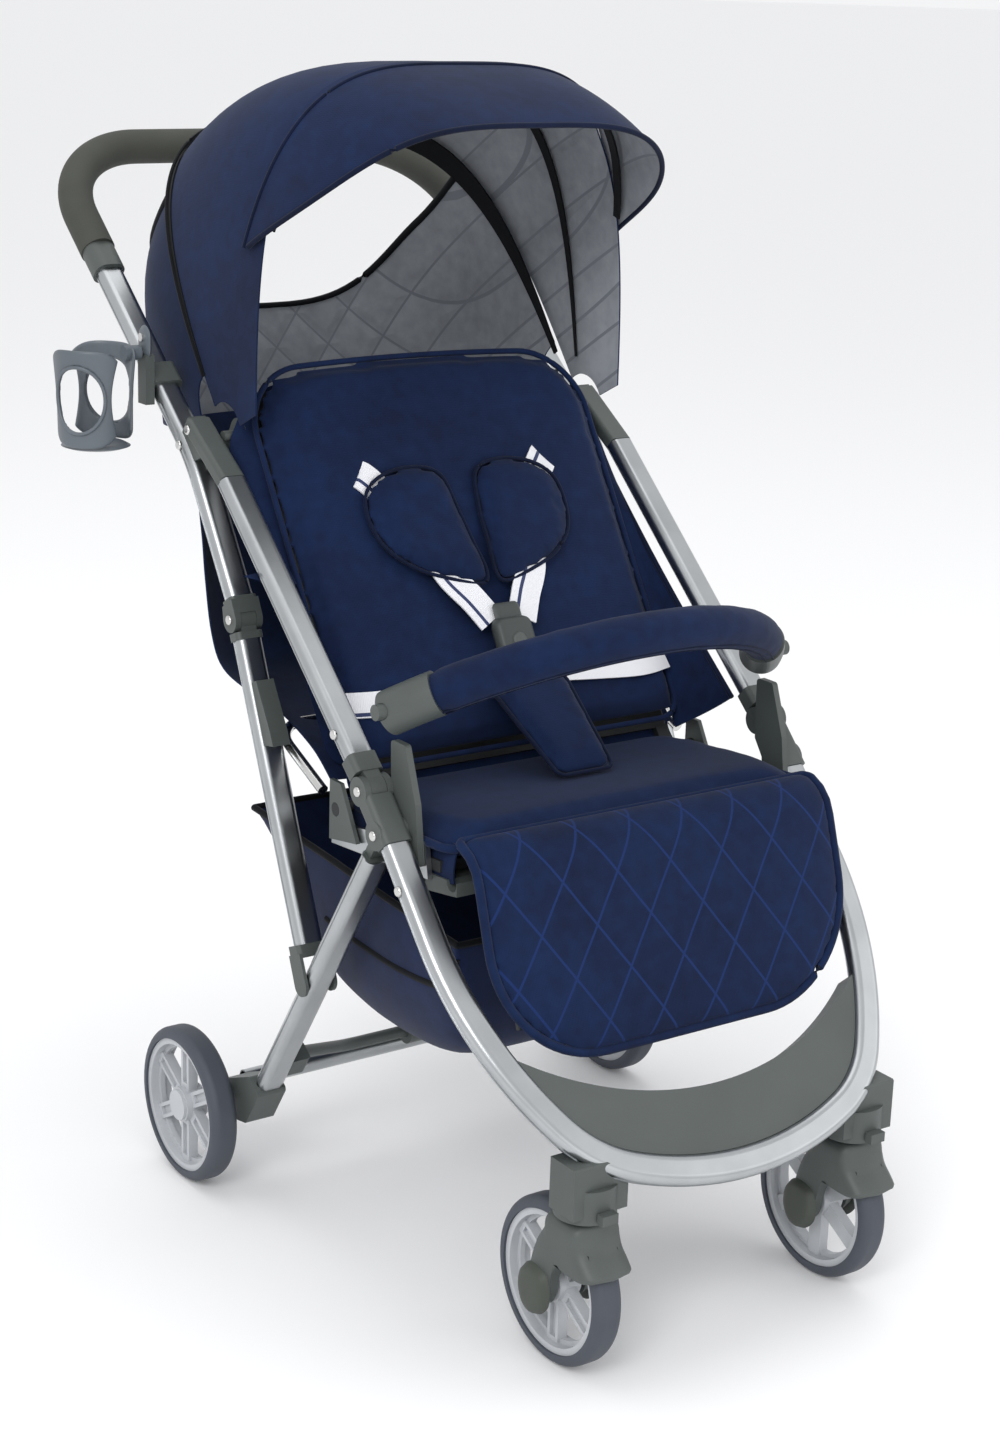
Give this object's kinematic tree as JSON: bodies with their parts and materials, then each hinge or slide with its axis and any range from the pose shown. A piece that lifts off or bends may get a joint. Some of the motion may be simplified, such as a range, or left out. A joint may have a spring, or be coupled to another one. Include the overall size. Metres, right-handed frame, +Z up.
{
  "type": "baby stroller",
  "caption": "Folding baby stroller with oblong aluminium frame, swivel front wheels, reclining padded seat, extendable canopy, bumper bar and under-seat basket.",
  "frame": {"origin": "on the floor, in the frame's plane of symmetry, about midway between the front and rear axles", "axes": "+Z up, -Y the way the stroller travels and faces, +X to the right of someone looking along +Y at its front"},
  "size_m": [0.597, 0.9131, 1.0567],
  "materials": {
    "aluminium_tube": "satin anodised",
    "grey_plastic": "fine grained moulded",
    "wheel_plastic": "smooth moulded",
    "tyre_foam": "matt foam tyre",
    "grip_foam": "matt foam",
    "navy_fabric": "woven cotton look",
    "lining_fabric": "quilted",
    "steel_fastener": "zinc plated",
    "board_plastic": "ribbed board",
    "cup_plastic": "smooth moulded"
  },
  "bodies": {
    "chassis": {"front_loop_tube": "aluminium_tube", "knee_housings_lower": "grey_plastic", "caster_brackets": "grey_plastic", "footrest_plate": "grey_plastic", "seat_rails": "aluminium_tube", "seat_board": "board_plastic", "seat_pad": "navy_fabric", "crotch_pad": "navy_fabric", "buckle": "grey_plastic", "basket": "navy_fabric", "legrest_brackets": "grey_plastic", "bumper_arms": "grey_plastic", "chassis_rivets": "steel_fastener"},
    "upper_frame": {"upper_tubes": "aluminium_tube", "knee_housings_upper": "grey_plastic", "top_clevises": "grey_plastic", "handle_tube": "aluminium_tube", "handle_grip": "grip_foam", "grip_collars": "grey_plastic", "canopy_brackets": "grey_plastic", "strut_knuckles": "grey_plastic", "upper_rivets": "steel_fastener", "cup_holder": "cup_plastic", "cup_clamp": "grey_plastic", "canopy_rear_panel": "navy_fabric"},
    "canopy_front": {"canopy_front_panel": "navy_fabric"},
    "canopy_visor_body": {"canopy_visor": "navy_fabric"},
    "struts": {"strut_tubes": "aluminium_tube", "strut_hinges": "grey_plastic", "strut_catches": "grey_plastic"},
    "rear_frame": {"rear_legs": "aluminium_tube", "leg_tongues": "grey_plastic", "wheel_housings": "grey_plastic", "rear_cross_tube": "aluminium_tube", "brake_bar": "grey_plastic"},
    "brake_lever": {"brake_pedal": "grey_plastic"},
    "rear_wheel_left": {"rear_rim_left": "wheel_plastic", "rear_tyre_left": "tyre_foam"},
    "rear_wheel_right": {"rear_rim_right": "wheel_plastic", "rear_tyre_right": "tyre_foam"},
    "caster_left": {"caster_fork_left": "grey_plastic"},
    "caster_right": {"caster_fork_right": "grey_plastic"},
    "front_wheel_left": {"front_rim_left": "wheel_plastic", "front_tyre_left": "tyre_foam"},
    "front_wheel_right": {"front_rim_right": "wheel_plastic", "front_tyre_right": "tyre_foam"},
    "swivel_lock_left": {"swivel_tab_left": "grey_plastic"},
    "swivel_lock_right": {"swivel_tab_right": "grey_plastic"},
    "recline_plates": {"recline_brackets": "grey_plastic", "recline_hoop": "steel_fastener"},
    "backrest": {"backrest_board": "board_plastic", "back_pad": "navy_fabric", "rear_curtain": "lining_fabric", "shoulder_pads": "navy_fabric"},
    "leg_rest": {"legrest_board": "board_plastic", "legrest_pad": "navy_fabric"},
    "bumper": {"bumper_bar": "navy_fabric", "bumper_ends": "grey_plastic"},
    "bumper_release_left": {"bumper_button_left": "grey_plastic"},
    "bumper_release_right": {"bumper_button_right": "grey_plastic"}
  },
  "joints": [
    {"name": "frame_fold", "type": "hinge", "parent": "chassis", "child": "upper_frame", "pos_m": [0, -0.0473, 0.4664], "axis": [-1, 0, 0], "range_deg": [0, 40]},
    {"name": "rear_leg_fold", "type": "hinge", "parent": "chassis", "child": "rear_frame", "pos_m": [0, -0.0733, 0.4346], "axis": [-1, 0, 0], "range_deg": [0, 40.5]},
    {"name": "strut_fold", "type": "hinge", "parent": "upper_frame", "child": "struts", "pos_m": [0, 0.1775, 0.5658], "axis": [1, 0, 0], "range_deg": [0, 5.5]},
    {"name": "recline_plate_fold", "type": "hinge", "parent": "chassis", "child": "recline_plates", "pos_m": [0, 0.0374, 0.421], "axis": [-1, 0, 0], "range_deg": [0, 40.5]},
    {"name": "backrest_recline", "type": "hinge", "parent": "recline_plates", "child": "backrest", "pos_m": [0, 0.0374, 0.421], "axis": [1, 0, 0], "range_deg": [-20, 0]},
    {"name": "canopy_fold", "type": "hinge", "parent": "upper_frame", "child": "canopy_front", "pos_m": [0, 0.24, 0.7216], "axis": [-1, 0, 0], "range_deg": [0, 40]},
    {"name": "visor_fold", "type": "hinge", "parent": "canopy_front", "child": "canopy_visor_body", "pos_m": [0, 0.24, 0.7216], "axis": [-1, 0, 0], "range_deg": [0, 20]},
    {"name": "legrest_tilt", "type": "hinge", "parent": "chassis", "child": "leg_rest", "pos_m": [0, -0.134, 0.404], "axis": [-1, 0, 0], "range_deg": [0, 70]},
    {"name": "brake_press", "type": "hinge", "parent": "rear_frame", "child": "brake_lever", "pos_m": [0, 0.166, 0.124], "axis": [-1, 0, 0], "range_deg": [0, 22]},
    {"name": "rear_left_spin", "type": "hinge", "parent": "rear_frame", "child": "rear_wheel_left", "pos_m": [-0.254, 0.22, 0.076], "axis": [1, 0, 0], "continuous": true},
    {"name": "rear_right_spin", "type": "hinge", "parent": "rear_frame", "child": "rear_wheel_right", "pos_m": [0.254, 0.22, 0.076], "axis": [1, 0, 0], "continuous": true},
    {"name": "caster_left_swivel", "type": "hinge", "parent": "chassis", "child": "caster_left", "pos_m": [-0.148, -0.2775, 0.151], "axis": [0, 0, 1], "continuous": true},
    {"name": "caster_right_swivel", "type": "hinge", "parent": "chassis", "child": "caster_right", "pos_m": [0.148, -0.2775, 0.151], "axis": [0, 0, 1], "continuous": true},
    {"name": "front_left_spin", "type": "hinge", "parent": "caster_left", "child": "front_wheel_left", "pos_m": [-0.148, -0.246, 0.0744], "axis": [1, 0, 0], "continuous": true},
    {"name": "front_right_spin", "type": "hinge", "parent": "caster_right", "child": "front_wheel_right", "pos_m": [0.148, -0.246, 0.0744], "axis": [1, 0, 0], "continuous": true},
    {"name": "swivel_lock_left_slide", "type": "slide", "parent": "chassis", "child": "swivel_lock_left", "axis": [0, 0, 1], "range_m": [0, 0.005]},
    {"name": "swivel_lock_right_slide", "type": "slide", "parent": "chassis", "child": "swivel_lock_right", "axis": [0, 0, 1], "range_m": [0, 0.005]},
    {"name": "bumper_release", "type": "slide", "parent": "chassis", "child": "bumper", "axis": [0, -0.8291, 0.5591], "range_m": [0, 0.12]},
    {"name": "bumper_button_left_press", "type": "slide", "parent": "bumper", "child": "bumper_release_left", "axis": [1, 0, 0], "range_m": [0, 0.003], "stiffness_N_per_m": 400},
    {"name": "bumper_button_right_press", "type": "slide", "parent": "bumper", "child": "bumper_release_right", "axis": [-1, 0, 0], "range_m": [0, 0.003], "stiffness_N_per_m": 400}
  ],
  "couplings": [
    {"joint": "rear_leg_fold", "follows": "frame_fold", "ratio": 0.995},
    {"joint": "strut_fold", "follows": "frame_fold", "ratio": 0.12},
    {"joint": "recline_plate_fold", "follows": "frame_fold", "ratio": 1}
  ]
}
